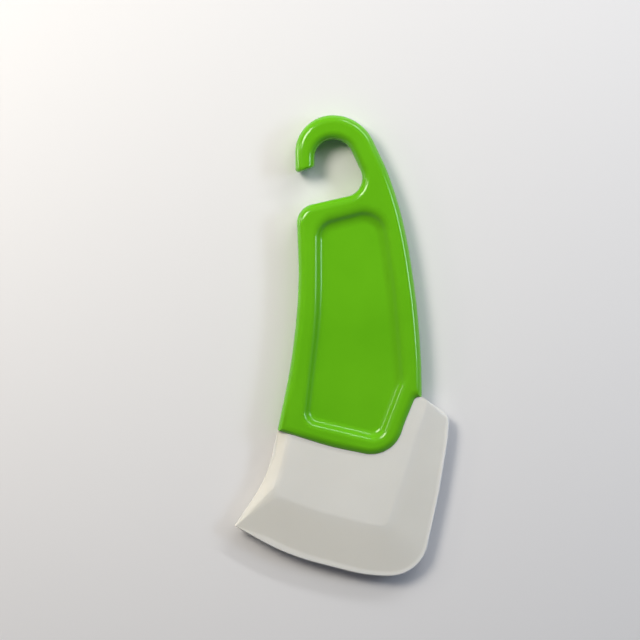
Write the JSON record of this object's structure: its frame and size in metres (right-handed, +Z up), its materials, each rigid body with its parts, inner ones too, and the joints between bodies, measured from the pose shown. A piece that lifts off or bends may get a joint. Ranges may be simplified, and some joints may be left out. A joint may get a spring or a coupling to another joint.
{
  "type": "pan scraper",
  "caption": "Flat pan scraper: a curved hard plastic handle with a recessed grip and a hanging hook, and a soft bevelled scraping blade moulded onto its lower end.",
  "frame": {"origin": "middle of the outline's bounding box, on the surface that the scraper lies on", "axes": "+Z up, through the thickness; +Y along the scraper, towards the top of the hook; +X towards the long straight side of the blade"},
  "size_m": [0.0762, 0.164, 0.009],
  "materials": {
    "handle": "gloss, polished mould",
    "blade": "satin, slightly translucent at the thin edge"
  },
  "bodies": {
    "root": {"handle": "handle", "blade": "blade"}
  },
  "joints": []
}
